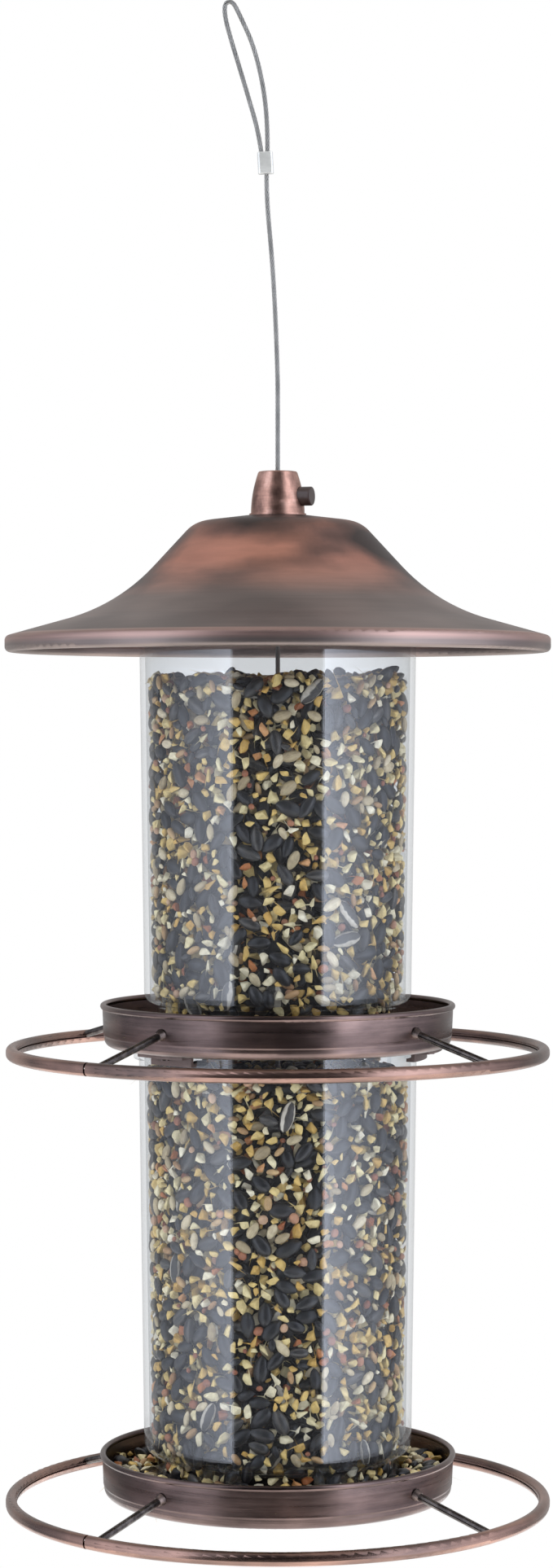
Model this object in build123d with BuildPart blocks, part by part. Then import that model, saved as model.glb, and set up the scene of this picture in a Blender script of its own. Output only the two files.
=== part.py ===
"""Two-tier hanging seed feeder: trays, clear tubes, perch rings, roof with a cable lock, wire-rope hanger.

Millimetres, +Z up. The origin is on the feeder's axis, level with the underside of the lower perch ring.
Angles are measured anticlockwise from +X as seen from above.
"""

import os
from math import cos, pi, radians, sin, tan

from build123d import *

# Overall sizes
TIER_PITCH = 192.8  # one perch ring to the next
ROOF_R = 117.5
PERCH_RING_R = 114.6  # centre line of the perch rings
TUBE_TOP_R = 60.0
TRAY_MARGIN = 16.5  # from the top of a tube out to a tray's rolled rim
SHEET = 0.9  # trays and roof
CLEARANCE = 0.3  # between pieces that move past each other
RUNNING_FIT = 0.05  # a round piece that turns in a hole, on the radius

# Perch rings and arms
RING_WIDTH = 4.8
RING_HEIGHT = 5.8
RING_WALL = 0.8
RING_SEAM = 0.6
RING_JOINT_ANGLE = 227.5  # where the two ends of the rolled tube meet
RING_JOINT_GAP = 0.5  # degrees
ARM_ANGLES = (230, 320, 50, 140)
ARM_R = 1.6
ARM_BORE_R = 0.9
ARM_SEAM = 0.35
ARM_RISE = 10.4  # from the ring's centre to the arm's end on the tray
ARM_BITE = 0.35  # how far a weld sinks an arm's end into the sheet
WELD_R = 2.7
WELD_LENGTH = 2.2

# Trays
TRAY_BOTTOM = 5.3
TRAY_HEIGHT = 18.6
TRAY_BEAD_R = 1.3
TRAY_STEP_HEIGHT = 4.5
TRAY_STEP = 0.7
TRAY_CORNER_R = 3.5
TRAY_SEAT_RISE = 4.9  # the raised middle that a tube stands on
TRAY_SEAT_MARGIN = 1.2
TRAY_SEAT_SLOPE = 1.6
CABLE_HOLE_R = 3.0

# Tubes
TUBE_TAPER = 2.5  # on the radius, from top to bottom
TUBE_WALL = 2.4
TUBE_CORNER_R = 5.0
TUBE_RIM_R = 0.8
TUBE_LIP_BELOW_RIM = 0.2
TUBE_COLLAR_STEP = 5.5  # in from the foot of the wall to the collar
TUBE_FLANGE_WIDTH = 9.0
TUBE_RIM_GAP = 0.4  # under the tray above
PORT_COUNT = 6
PORT_WIDTH = 34.0
PORT_LINTEL = 1.4

# Foot screws
SCREW_COUNT = 3
SCREW_INSET = 3.4  # from the inside of the collar
SCREW_R = 1.5
SCREW_HEAD_R = 2.8
SCREW_HEAD_HEIGHT = 1.6
NUT_ACROSS_FLATS = 5.5
NUT_HEIGHT = 2.4
SCREW_END = 0.6  # past the nut

# Bayonet between the tiers
TAB_ANGLES = (225, 345, 105)
TAB_SPAN = 22.0  # degrees
TAB_THICKNESS = 1.6
TAB_DROP = 4.7
TAB_FOOT_THICKNESS = 1.4
TAB_FLANGE = 8.2
LUG_REACH = 2.2
LUG_TOP_GAP = 1.2
TWIST_FREE = 3.0  # degrees between a freed tab and its lug
STOP_SPAN = 14.0
RIVET_R = 1.2
RIVET_HEAD_R = 2.2
RIVET_HEAD_HEIGHT = 0.9

# Roof
ROOF_RISE = 31.2  # crown above the upper tube's top
CROWN_DROP = 2.9
CROWN_FLAT_BEND_R = 12.0
CROWN_BEND_R = 14.0
SHOULDER_WIDTH = 33.0
FLARE_MARGIN = 9.0  # from the tube out to where the roof flares
FLARE_DROP = 38.6
FLARE_BEND_R = 80.0
BRIM_DROP = 52.2
BRIM_ROLL_HEIGHT = 6.8
BRIM_ROLL_WIDTH = 4.8
BRIM_ROLL_BEND_R = 2.3
BRIM_LIP = 3.6
SHOULDER_TOP_DROP = 20.0  # where the crown meets the shoulder
SHOULDER_FOOT_DROP = 44.0  # where the shoulder meets the brim
LOCATOR_COUNT = 6
LOCATOR_HEIGHT = 9.0
LOCATOR_WALL = 2.2
LOCATOR_GAP = 3.0
LOCATOR_SPAN = 14.0

# Neck and cable lock
NECK_BASE_R = 11.6
NECK_TOP_R = 8.3
NECK_HEIGHT = 19.0
NECK_BULGE_R = 10.75  # at mid height
NECK_WALL = 1.0
NECK_FLANGE_R = 12.3
NECK_FLANGE_HEIGHT = 0.8
GUIDE_R = 2.6  # the cable's passage through the lock
GROMMET_WALL = 1.0
GROMMET_FLANGE_R = 5.6
GROMMET_FLANGE = 1.2
LOCK_R = 6.9
LOCK_SLEEVE_R = 6.0
LOCK_SLEEVE_DEPTH = 5.6
SLEEVE_CLEARANCE = 0.2
LOCK_NUT_HEIGHT = 3.8
LOCK_NUT_ACROSS_FLATS = 19.0

# Push-button
BUTTON_ANGLE = -20
BUTTON_HEIGHT = 8.1  # above the roof's crown
BUTTON_R = 4.1
BUTTON_REACH = 15.8
BUTTON_INNER = 9.3
BUTTON_TRAVEL = 1.8
BUTTON_EDGE_R = 0.6
GATE_WIDTH = 7.4
GATE_HEIGHT = 3.0
GATE_INNER = 4.4
GATE_OUTER = 4.9
GATE_SLOT_WIDTH = 3.8
STEM_R = 2.5
SPRING_SEAT = 5.8
SPRING_R = 3.2
SPRING_WIRE_R = 0.22
SPRING_TURNS = 2.5

# Cable
CABLE_R = 1.0
CABLE_STOP_R = 3.2
CABLE_STOP_HEIGHT = 4.6
WASHER_R = 11.0
WASHER_HEIGHT = 1.0
FERRULE_WIDTH = 6.7
FERRULE_DEPTH = 4.2
FERRULE_BOTTOM = 574.0
FERRULE_TOP = 583.5
FERRULE_X = -5.3
FERRULE_TILT = 3.0
FERRULE_EDGE_R = 1.2
CABLE_ROUTE = [
    (0.0, 489.0),
    (-1.9, 532.0),
    (-5.2, 567.0),
    (-4.15, 587.0),
    (-5.4, 608.0),
    (-10.0, 628.5),
    (-16.5, 642.8),
    (-19.1, 647.9),
    (-21.3, 648.4),
    (-23.0, 646.9),
    (-22.7, 641.2),
    (-19.9, 631.0),
    (-14.4, 613.0),
    (-7.1, 588.0),
    (-6.45, 576.0),
]

# Seed
UPPER_SEED_DEPTH = 143.0  # above the tube's lip
LOWER_SEED_DEPTH = 162.0
SEED_GAP = 0.4
SEED_CROWN = 2.0  # how much higher the seed is in the middle than at its shoulder
SEED_SHOULDER = 3.0
SEED_FOOT_BEVEL = 4.2
TRAY_SEED_TOP = 18.0  # above the lower ring's underside
TRAY_SEED_FALL = 3.0
TRAY_SEED_MARGIN = 2.8

# Worked out from the sizes above
TRAY_R = TUBE_TOP_R + TRAY_MARGIN  # outside of the rolled rim
TUBE_BOTTOM_R = TUBE_TOP_R - TUBE_TAPER
TUBE_COLLAR_R = TUBE_BOTTOM_R - TUBE_COLLAR_STEP
TUBE_FOOT_R = TUBE_COLLAR_R - TUBE_FLANGE_WIDTH  # inside edge of the foot flange
SCREW_CIRCLE_R = TUBE_COLLAR_R - TUBE_WALL - SCREW_INSET
TRAY_TOP = TRAY_BOTTOM + TRAY_HEIGHT
TRAY_SEAT = TRAY_BOTTOM + TRAY_SEAT_RISE + SHEET
TUBE_LIP = TRAY_TOP - TUBE_LIP_BELOW_RIM
TUBE_TOP = TIER_PITCH + TRAY_BOTTOM + TRAY_SEAT_RISE - TUBE_RIM_GAP
SEAT_EDGE_R = TUBE_TOP_R + TRAY_SEAT_MARGIN
ROOF_CROWN_Z = TIER_PITCH + TUBE_TOP + ROOF_RISE
FLARE_R = TUBE_TOP_R + FLARE_MARGIN
CROWN_EDGE_R = FLARE_R - SHOULDER_WIDTH
NECK_TOP = ROOF_CROWN_Z + NECK_HEIGHT
ROOF_UNDERSIDE = ROOF_CROWN_Z - SHEET
BUTTON_Z = ROOF_CROWN_Z + BUTTON_HEIGHT
BRIM_TOP = ROOF_CROWN_Z - BRIM_DROP
TAB_INNER_R = TUBE_TOP_R + 0.6
TAB_WALL_R = TUBE_TOP_R + LUG_REACH + 0.6
TAB_FLANGE_R = TAB_WALL_R + TAB_FLANGE
TAB_TOP = TRAY_BOTTOM + TIER_PITCH
TWIST_RANGE = TAB_SPAN / 2 + TWIST_FREE
CABLE_START = TRAY_BOTTOM + TRAY_SEAT_RISE - WASHER_HEIGHT - CABLE_STOP_HEIGHT


def polar(radius, angle, height=0.0):
    """A point at this radius and angle round the axis."""
    return Vector(radius * cos(radians(angle)), radius * sin(radians(angle)), height)


def turned(angle, height=0.0):
    """A horizontal plane on the axis, its X turned to this angle."""
    return Plane.XY.offset(height).rotated((0, 0, angle))


def arc_block(inner_r, outer_r, bottom, top, middle_angle, span):
    """A block bent round the axis: part of a ring, between two radii and two heights."""
    plane = Plane.XZ.rotated((0, 0, middle_angle - span / 2))
    with BuildPart() as block:
        with BuildSketch(plane):
            with Locations(((inner_r + outer_r) / 2, (bottom + top) / 2)):
                Rectangle(outer_r - inner_r, top - bottom)
        revolve(axis=Axis.Z, revolution_arc=span)
    return block.part


def save(piece, name):
    """Labels a finished piece and writes it to its own file."""
    piece.label = name
    export_step(piece, f"parts/{name}.step")


def build_tray(base, name, tab_angles=()):
    """A pan with a rolled rim, a step low on its wall and a raised seat for the tube."""
    bottom = base + TRAY_BOTTOM
    top = base + TRAY_TOP
    wall_r = TRAY_R - SHEET
    low_wall_r = wall_r - TRAY_STEP
    with BuildPart() as tray:
        with BuildSketch(Plane.XZ):
            with BuildLine():
                FilletPolyline(
                    (CABLE_HOLE_R, bottom + TRAY_SEAT_RISE),
                    (SEAT_EDGE_R, bottom + TRAY_SEAT_RISE),
                    (SEAT_EDGE_R + TRAY_SEAT_SLOPE, bottom),
                    (low_wall_r - 0.6, bottom),
                    (low_wall_r, bottom + TRAY_STEP_HEIGHT),
                    (wall_r - 0.5, bottom + TRAY_STEP_HEIGHT + TRAY_STEP),
                    (wall_r, top - TRAY_BEAD_R),
                    radius=[1.0, 1.0, TRAY_CORNER_R, 0.6, 0.6],
                )
                offset(amount=SHEET, side=Side.LEFT)
            make_face()
            with Locations((TRAY_R - TRAY_BEAD_R, top - TRAY_BEAD_R)):
                Circle(TRAY_BEAD_R)
        revolve(axis=Axis.Z)
        with PolarLocations(SCREW_CIRCLE_R, SCREW_COUNT):
            with Locations((0, 0, bottom + TRAY_SEAT_RISE)):
                Cylinder(SCREW_R + RUNNING_FIT, 4 * SHEET, mode=Mode.SUBTRACT)
        for angle in tab_angles:
            with Locations(polar((TAB_WALL_R + TAB_FLANGE_R) / 2, angle, bottom)):
                Cylinder(RIVET_R, 4 * SHEET, mode=Mode.SUBTRACT)
    save(tray.part, name)


def build_perch_ring(base, name):
    """A ring of rolled tube, open along a seam on its inner side, its ends meeting at a joint."""
    middle = base + RING_HEIGHT / 2
    start = RING_JOINT_ANGLE + RING_JOINT_GAP / 2
    with BuildPart() as ring:
        with BuildSketch(Plane.XZ.rotated((0, 0, start))):
            with Locations((PERCH_RING_R, middle)):
                RectangleRounded(RING_WIDTH, RING_HEIGHT, RING_WIDTH / 2 - 0.05)
                RectangleRounded(
                    RING_WIDTH - 2 * RING_WALL,
                    RING_HEIGHT - 2 * RING_WALL,
                    RING_WIDTH / 2 - RING_WALL - 0.05,
                    mode=Mode.SUBTRACT,
                )
            with Locations((PERCH_RING_R - RING_WIDTH / 2, middle)):
                Rectangle(2.5 * RING_WALL, RING_SEAM, mode=Mode.SUBTRACT)
        revolve(axis=Axis.Z, revolution_arc=360 - RING_JOINT_GAP)
    save(ring.part, name)


def arm_line(base, angle):
    """Where an arm starts on the tray's wall and where it ends on the perch ring."""
    ring_z = base + RING_HEIGHT / 2
    start = polar(TRAY_R - SHEET - ARM_BITE, angle, ring_z + ARM_RISE + 1.2)
    end = polar(PERCH_RING_R - RING_WIDTH / 2 + ARM_BITE, angle, ring_z + 1.2)
    return start, end


def build_perch_arm(base, angle, name):
    """A spoke of rolled tube from the tray's wall down to the perch ring."""
    start, end = arm_line(base, angle)
    with BuildPart() as arm:
        with BuildSketch(Plane(origin=start, x_dir=polar(1, angle + 90), z_dir=end - start)):
            Circle(ARM_R)
            Circle(ARM_BORE_R, mode=Mode.SUBTRACT)
            with Locations((-ARM_R, 0)):
                Rectangle(2 * (ARM_R - ARM_BORE_R) + 0.2, ARM_SEAM, mode=Mode.SUBTRACT)
        extrude(amount=(end - start).length)
    save(arm.part, name)


def build_arm_welds(base, name):
    """The weld beads round the arms' inner ends."""
    with BuildPart() as welds:
        for angle in ARM_ANGLES:
            start, end = arm_line(base, angle)
            with BuildSketch(Plane(origin=start, z_dir=end - start)):
                Circle(WELD_R)
            extrude(amount=WELD_LENGTH + ARM_BITE, taper=18)
            with BuildSketch(Plane(origin=start, z_dir=end - start)):
                Circle(ARM_R)
            extrude(amount=2 * WELD_LENGTH, mode=Mode.SUBTRACT)
    save(welds.part, name)


def build_tube(base, name):
    """A clear moulded tube: tapered wall, rounded lip turned in over the foot, lugs round its top."""
    lip = base + TUBE_LIP
    top = base + TUBE_TOP
    with BuildPart() as tube:
        with BuildSketch(Plane.XZ) as profile:
            Polygon(
                (TUBE_COLLAR_R - TUBE_WALL, lip),
                (TUBE_BOTTOM_R, lip),
                (TUBE_TOP_R, top),
                (TUBE_TOP_R - TUBE_WALL, top),
                (TUBE_BOTTOM_R - TUBE_WALL, lip + TUBE_WALL),
                (TUBE_COLLAR_R - TUBE_WALL, lip + TUBE_WALL),
                align=None,
            )
            corners = profile.vertices()
            fillet(corners.sort_by_distance((TUBE_BOTTOM_R, lip))[0], TUBE_CORNER_R)
            inner_corner = (TUBE_BOTTOM_R - TUBE_WALL, lip + TUBE_WALL)
            fillet(corners.sort_by_distance(inner_corner)[0], TUBE_CORNER_R - TUBE_WALL)
            fillet(corners.sort_by_distance((TUBE_TOP_R, top))[0:2], TUBE_RIM_R)
        revolve(axis=Axis.Z)
        add_bayonet_lugs(base)
    save(tube.part, name)


def build_tube_foot(base, name):
    """The clear foot that a tube stands on: a collar with ports for the seed, and a screwed flange."""
    foot = base + TRAY_SEAT
    lip = base + TUBE_LIP
    with BuildPart() as collar:
        with BuildSketch(Plane.XZ):
            Polygon(
                (TUBE_FOOT_R, foot),
                (TUBE_COLLAR_R, foot),
                (TUBE_COLLAR_R, lip),
                (TUBE_COLLAR_R - TUBE_WALL, lip),
                (TUBE_COLLAR_R - TUBE_WALL, foot + TUBE_WALL),
                (TUBE_FOOT_R, foot + TUBE_WALL),
                align=None,
            )
        revolve(axis=Axis.Z)
        with BuildSketch(Plane.XY.offset(foot + TUBE_WALL)):
            with PolarLocations(TUBE_COLLAR_R - TUBE_WALL / 2, PORT_COUNT, start_angle=30):
                Rectangle(3 * TUBE_WALL, PORT_WIDTH)
        extrude(amount=lip - PORT_LINTEL - foot - TUBE_WALL, mode=Mode.SUBTRACT)
        with PolarLocations(SCREW_CIRCLE_R, SCREW_COUNT):
            with Locations((0, 0, foot + TUBE_WALL / 2)):
                Cylinder(SCREW_R + RUNNING_FIT, 2 * TUBE_WALL, mode=Mode.SUBTRACT)
    save(collar.part, name)


def add_bayonet_lugs(base):
    """Three hooking lugs that the tabs of the tier above turn over, each with a full-depth end, and stops."""
    tab_top = base + TAB_TOP
    lug_top = tab_top - LUG_TOP_GAP
    foot_top = tab_top - TAB_DROP + TAB_FOOT_THICKNESS
    inner_r = TUBE_TOP_R - TUBE_WALL / 2
    outer_r = TUBE_TOP_R + LUG_REACH
    for angle in TAB_ANGLES:
        half = TAB_SPAN / 2
        add(arc_block(inner_r, outer_r, foot_top + CLEARANCE, lug_top, angle + half / 2 + 1, half + 2))
        add(arc_block(inner_r, outer_r, tab_top - TAB_DROP, lug_top, angle + 1.5 * half + 0.6, half - 1))
        stop_middle = angle - half - TWIST_RANGE - STOP_SPAN / 2
        add(arc_block(inner_r, outer_r, tab_top - TAB_DROP, lug_top, stop_middle, STOP_SPAN))


def build_bayonet_tab(angle, name):
    """An L-shaped tab under the upper tray: flange, wall and inward foot."""
    bottom = TAB_TOP - TAB_DROP
    outer_r = TAB_WALL_R + TAB_THICKNESS
    with BuildPart() as tab:
        add(arc_block(TAB_WALL_R, outer_r, bottom, TAB_TOP, angle, TAB_SPAN))
        add(arc_block(TAB_INNER_R, outer_r, bottom, bottom + TAB_FOOT_THICKNESS, angle, TAB_SPAN))
        add(arc_block(TAB_WALL_R, TAB_FLANGE_R, TAB_TOP - 1.2, TAB_TOP, angle, TAB_SPAN))
        with Locations(polar((TAB_WALL_R + TAB_FLANGE_R) / 2, angle, TAB_TOP)):
            Cylinder(RIVET_R, 6, mode=Mode.SUBTRACT)
    save(tab.part, name)


def build_tab_rivets(name):
    """The rivets that hold the bayonet tabs to the upper tray."""
    grip = SHEET + 1.2
    with BuildPart() as rivets:
        for angle in TAB_ANGLES:
            foot = polar((TAB_WALL_R + TAB_FLANGE_R) / 2, angle, TAB_TOP - 1.2)
            with BuildSketch(Plane(foot)):
                Circle(RIVET_R)
            extrude(amount=grip)
            with BuildSketch(Plane(foot)):
                Circle(RIVET_HEAD_R)
            extrude(amount=-RIVET_HEAD_HEIGHT)
            with BuildSketch(Plane(foot).offset(grip)):
                Circle(RIVET_HEAD_R)
            extrude(amount=RIVET_HEAD_HEIGHT)
    save(rivets.part, name)


def build_foot_screws(base, name):
    """Pan-head screws that hold a tube's foot flange to its tray, heads under the tray."""
    under = base + TRAY_SEAT - SHEET
    with BuildPart() as screws:
        with BuildSketch(Plane.XY.offset(under)):
            with PolarLocations(SCREW_CIRCLE_R, SCREW_COUNT):
                Circle(SCREW_HEAD_R)
        extrude(amount=-SCREW_HEAD_HEIGHT)
        fillet(screws.faces().sort_by(Axis.Z)[0:SCREW_COUNT].edges(), radius=0.7)
        with BuildSketch(Plane.XY.offset(under)):
            with PolarLocations(SCREW_CIRCLE_R, SCREW_COUNT):
                Circle(SCREW_R)
        extrude(amount=SHEET + TUBE_WALL + NUT_HEIGHT + SCREW_END)
    save(screws.part, name)


def build_foot_nuts(base, name):
    """Hexagon nuts on the foot screws."""
    with BuildPart() as nuts:
        with BuildSketch(Plane.XY.offset(base + TRAY_SEAT + TUBE_WALL)):
            with PolarLocations(SCREW_CIRCLE_R, SCREW_COUNT):
                RegularPolygon(NUT_ACROSS_FLATS / 2, 6, major_radius=False)
                Circle(SCREW_R + RUNNING_FIT, mode=Mode.SUBTRACT)
        extrude(amount=NUT_HEIGHT)
    save(nuts.part, name)


def build_tube_seed(base, depth, name):
    """The seed in a tube, from just above the foot nuts to its level top, with room for the cable."""
    bottom = base + TRAY_SEAT + TUBE_WALL + NUT_HEIGHT + SCREW_END + SEED_GAP
    lip = base + TUBE_LIP + TUBE_WALL + SEED_GAP
    top = base + TUBE_LIP + depth
    collar_r = TUBE_COLLAR_R - TUBE_WALL - SEED_GAP
    low_r = TUBE_BOTTOM_R - TUBE_WALL - SEED_GAP
    taper = TUBE_TAPER / (TUBE_TOP - TUBE_LIP)
    with BuildPart() as seed:
        with BuildSketch(Plane.XZ):
            Polygon(
                (CABLE_HOLE_R, bottom),
                (collar_r - SEED_FOOT_BEVEL, bottom),
                (collar_r, bottom + SEED_FOOT_BEVEL),
                (collar_r, lip),
                (low_r - SEED_SHOULDER, lip),
                (low_r, lip + SEED_SHOULDER),
                (low_r + taper * (top - SEED_SHOULDER - lip), top - SEED_SHOULDER),
                (low_r - SEED_SHOULDER, top),
                (CABLE_HOLE_R, top + SEED_CROWN),
                align=None,
            )
        revolve(axis=Axis.Z)
    save(seed.part, name)


def build_tray_seed(name):
    """The seed that lies in the lower tray, round the tube's collar."""
    collar_r = TUBE_COLLAR_R + SEED_GAP
    floor = TRAY_BOTTOM + SHEET + SEED_GAP
    wall_r = TRAY_R - SHEET - TRAY_SEED_MARGIN
    with BuildPart() as seed:
        with BuildSketch(Plane.XZ):
            Polygon(
                (collar_r, TRAY_SEAT + SEED_GAP),
                (SEAT_EDGE_R + SHEET, TRAY_SEAT + SEED_GAP),
                (SEAT_EDGE_R + TRAY_SEAT_SLOPE + 1.6 * SHEET, floor),
                (wall_r - SEED_SHOULDER, floor),
                (wall_r, floor + SEED_SHOULDER),
                (wall_r, TRAY_SEED_TOP - TRAY_SEED_FALL),
                (collar_r, TRAY_SEED_TOP),
                align=None,
            )
        revolve(axis=Axis.Z)
    save(seed.part, name)


def roof_line():
    """The roof's outer surface from its middle to the turned-in edge of its rolled brim."""
    roll_bottom = BRIM_TOP - BRIM_ROLL_HEIGHT
    return FilletPolyline(
        (LOCK_SLEEVE_R + SLEEVE_CLEARANCE, ROOF_CROWN_Z),
        (NECK_FLANGE_R + 1.0, ROOF_CROWN_Z),
        (CROWN_EDGE_R, ROOF_CROWN_Z - CROWN_DROP),
        (FLARE_R, ROOF_CROWN_Z - FLARE_DROP),
        (ROOF_R, BRIM_TOP),
        (ROOF_R, roll_bottom),
        (ROOF_R - BRIM_ROLL_WIDTH, roll_bottom),
        (ROOF_R - BRIM_ROLL_WIDTH, roll_bottom + BRIM_LIP),
        radius=[CROWN_FLAT_BEND_R, CROWN_BEND_R, FLARE_BEND_R, *[BRIM_ROLL_BEND_R] * 3],
    )


def spin_roof():
    """The whole spun roof: flat crown, sloping shoulder, flared brim with a rolled edge."""
    with BuildPart() as roof:
        with BuildSketch(Plane.XZ):
            with BuildLine():
                roof_line()
                offset(amount=SHEET, side=Side.RIGHT)
            make_face()
        revolve(axis=Axis.Z)
    return roof.part


def build_roof_zone(roof, bottom, top, name):
    """The part of the roof between two heights; the zones meet at level circles."""
    with BuildPart() as zone:
        add(roof)
        split(bisect_by=Plane.XY.offset(bottom), keep=Keep.TOP)
        split(bisect_by=Plane.XY.offset(top), keep=Keep.BOTTOM)
    save(zone.part, name)


def build_tube_locator(roof, name):
    """Ribs under the roof that drop inside the upper tube and centre the roof on it."""
    outer_r = TUBE_TOP_R - TUBE_WALL - LOCATOR_GAP
    bottom = TIER_PITCH + TUBE_TOP - LOCATOR_HEIGHT
    with BuildPart() as posts:
        for number in range(LOCATOR_COUNT):
            angle = number * 360 / LOCATOR_COUNT
            top = bottom + 2 * LOCATOR_HEIGHT
            add(arc_block(outer_r - LOCATOR_WALL, outer_r, bottom, top, angle, LOCATOR_SPAN))
        add(roof, mode=Mode.SUBTRACT)
    with BuildPart() as ribs:
        add(posts.solids().sort_by(Axis.Z)[0:LOCATOR_COUNT])
    save(ribs.part, name)


def build_neck_cap(name):
    """The hollow neck on the roof: bulged sides, a foot flange, a hole on top and one in its side."""
    base = ROOF_CROWN_Z
    middle = (base + NECK_FLANGE_HEIGHT + NECK_TOP) / 2
    with BuildPart() as neck:
        with BuildSketch(Plane.XZ):
            with BuildLine():
                Polyline(
                    (NECK_TOP_R, NECK_TOP),
                    (0, NECK_TOP),
                    (0, base),
                    (NECK_FLANGE_R, base),
                    (NECK_FLANGE_R, base + NECK_FLANGE_HEIGHT),
                    (NECK_BASE_R, base + NECK_FLANGE_HEIGHT),
                )
                ThreePointArc(
                    (NECK_BASE_R, base + NECK_FLANGE_HEIGHT),
                    (NECK_BULGE_R, middle),
                    (NECK_TOP_R, NECK_TOP),
                )
            make_face()
        revolve(axis=Axis.Z)
        fillet(neck.edges().group_by(Axis.Z)[-1], radius=0.8)
        with BuildSketch(Plane.XZ):
            Polygon(
                (0, base),
                (NECK_BASE_R - NECK_WALL, base),
                (NECK_BULGE_R - NECK_WALL - 0.1, middle),
                (NECK_TOP_R - NECK_WALL, NECK_TOP - NECK_WALL),
                (0, NECK_TOP - NECK_WALL),
                align=None,
            )
        revolve(axis=Axis.Z, mode=Mode.SUBTRACT)
        with BuildSketch(Plane.XY.offset(NECK_TOP)):
            Circle(GUIDE_R + GROMMET_WALL + RUNNING_FIT)
        extrude(amount=-2 * NECK_WALL, mode=Mode.SUBTRACT)
        with BuildSketch(button_plane(GATE_OUTER)):
            Circle(BUTTON_R + 0.1)
        extrude(amount=BUTTON_REACH, mode=Mode.SUBTRACT)
    save(neck.part, name)


def button_plane(distance):
    """A plane across the button's axis, this far from the feeder's axis, facing outwards, its Y up."""
    return Plane(
        origin=polar(distance, BUTTON_ANGLE, BUTTON_Z),
        x_dir=polar(1, BUTTON_ANGLE + 90),
        z_dir=polar(1, BUTTON_ANGLE),
    )


def build_lock_body(name):
    """The moulded lock inside the neck, with a threaded sleeve through the roof."""
    top = NECK_TOP - NECK_WALL - GROMMET_FLANGE - 2 * CLEARANCE
    with BuildPart() as lock:
        with BuildSketch(Plane.XY.offset(ROOF_CROWN_Z)):
            Circle(LOCK_R)
        extrude(amount=top - ROOF_CROWN_Z)
        with BuildSketch(Plane.XY.offset(ROOF_CROWN_Z)):
            Circle(LOCK_SLEEVE_R)
        extrude(amount=-LOCK_SLEEVE_DEPTH)
        with BuildSketch(Plane.XY.offset(top)):
            Circle(GUIDE_R)
        extrude(amount=-2 * NECK_HEIGHT, mode=Mode.SUBTRACT)
        with BuildSketch(button_plane(GATE_OUTER + 0.1)):
            Rectangle(GATE_WIDTH + 0.4, GATE_HEIGHT + 0.4)
        extrude(amount=-3 * LOCK_R, mode=Mode.SUBTRACT)
        with BuildSketch(button_plane(0)):
            Circle(STEM_R + 0.15)
        extrude(amount=2 * LOCK_R, mode=Mode.SUBTRACT)
        with BuildSketch(button_plane(SPRING_SEAT)):
            Circle(SPRING_R + 0.6)
        extrude(amount=LOCK_R, mode=Mode.SUBTRACT)
    save(lock.part, name)


def build_lock_nut(name):
    """The nut under the roof that clamps the neck and the lock to it."""
    with BuildPart() as nut:
        with BuildSketch(Plane.XY.offset(ROOF_UNDERSIDE)):
            RegularPolygon(LOCK_NUT_ACROSS_FLATS / 2, 6, major_radius=False)
            Circle(LOCK_SLEEVE_R + RUNNING_FIT, mode=Mode.SUBTRACT)
        extrude(amount=-LOCK_NUT_HEIGHT)
    save(nut.part, name)


def build_cable_grommet(name):
    """The flanged bush in the top of the neck that the cable runs through."""
    flange_top = NECK_TOP - NECK_WALL - CLEARANCE
    with BuildPart() as grommet:
        with BuildSketch(Plane.XY.offset(flange_top - GROMMET_FLANGE)):
            Circle(GROMMET_FLANGE_R)
        extrude(amount=GROMMET_FLANGE)
        with BuildSketch(Plane.XY.offset(flange_top)):
            Circle(GUIDE_R + GROMMET_WALL)
        extrude(amount=NECK_WALL + 2 * CLEARANCE)
        with BuildSketch(Plane.XY.offset(flange_top - GROMMET_FLANGE)):
            Circle(GUIDE_R)
        extrude(amount=2 * NECK_HEIGHT, mode=Mode.SUBTRACT)
    save(grommet.part, name)


def build_push_button(name):
    """The button with its stem and the slotted gate that grips the cable."""
    slot_inner = -CABLE_R - 0.15
    slot_outer = CABLE_R + BUTTON_TRAVEL + 0.4
    with BuildPart() as button:
        with BuildSketch(button_plane(BUTTON_INNER)):
            Circle(BUTTON_R)
        extrude(amount=BUTTON_REACH - BUTTON_INNER)
        fillet(button.faces().sort_by(Axis.X)[-1].edges(), radius=BUTTON_EDGE_R)
        with BuildSketch(button_plane(GATE_OUTER)):
            Circle(STEM_R)
        extrude(amount=BUTTON_INNER - GATE_OUTER)
        with BuildSketch(button_plane(-GATE_INNER)):
            Rectangle(GATE_WIDTH, GATE_HEIGHT)
        extrude(amount=GATE_INNER + GATE_OUTER)
        with BuildSketch(turned(BUTTON_ANGLE, BUTTON_Z)):
            with Locations(((slot_inner + slot_outer) / 2, 0)):
                Rectangle(slot_outer - slot_inner, GATE_SLOT_WIDTH)
        extrude(amount=GATE_HEIGHT, both=True, mode=Mode.SUBTRACT)
    save(button.part, name)


def build_button_spring(name):
    """The coil spring behind the button's head."""
    seat = SPRING_SEAT + SPRING_WIRE_R
    length = BUTTON_INNER - SPRING_SEAT - 2 * SPRING_WIRE_R
    plane = button_plane(seat)
    with BuildPart() as spring:
        with BuildLine() as path:
            Helix(
                pitch=length / SPRING_TURNS,
                height=length,
                radius=SPRING_R,
                center=plane.origin,
                direction=plane.z_dir,
            )
        with BuildSketch(Plane(origin=path.wire() @ 0, z_dir=path.wire() % 0)):
            Circle(SPRING_WIRE_R)
        sweep(path=path.wire())
    save(spring.part, name)


def build_base_washer(name):
    """The washer under the lower tray."""
    top = TRAY_BOTTOM + TRAY_SEAT_RISE
    with BuildPart() as washer:
        with BuildSketch(Plane.XY.offset(top)):
            Circle(WASHER_R)
            Circle(CABLE_R + 0.3, mode=Mode.SUBTRACT)
        extrude(amount=-WASHER_HEIGHT)
    save(washer.part, name)


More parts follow.
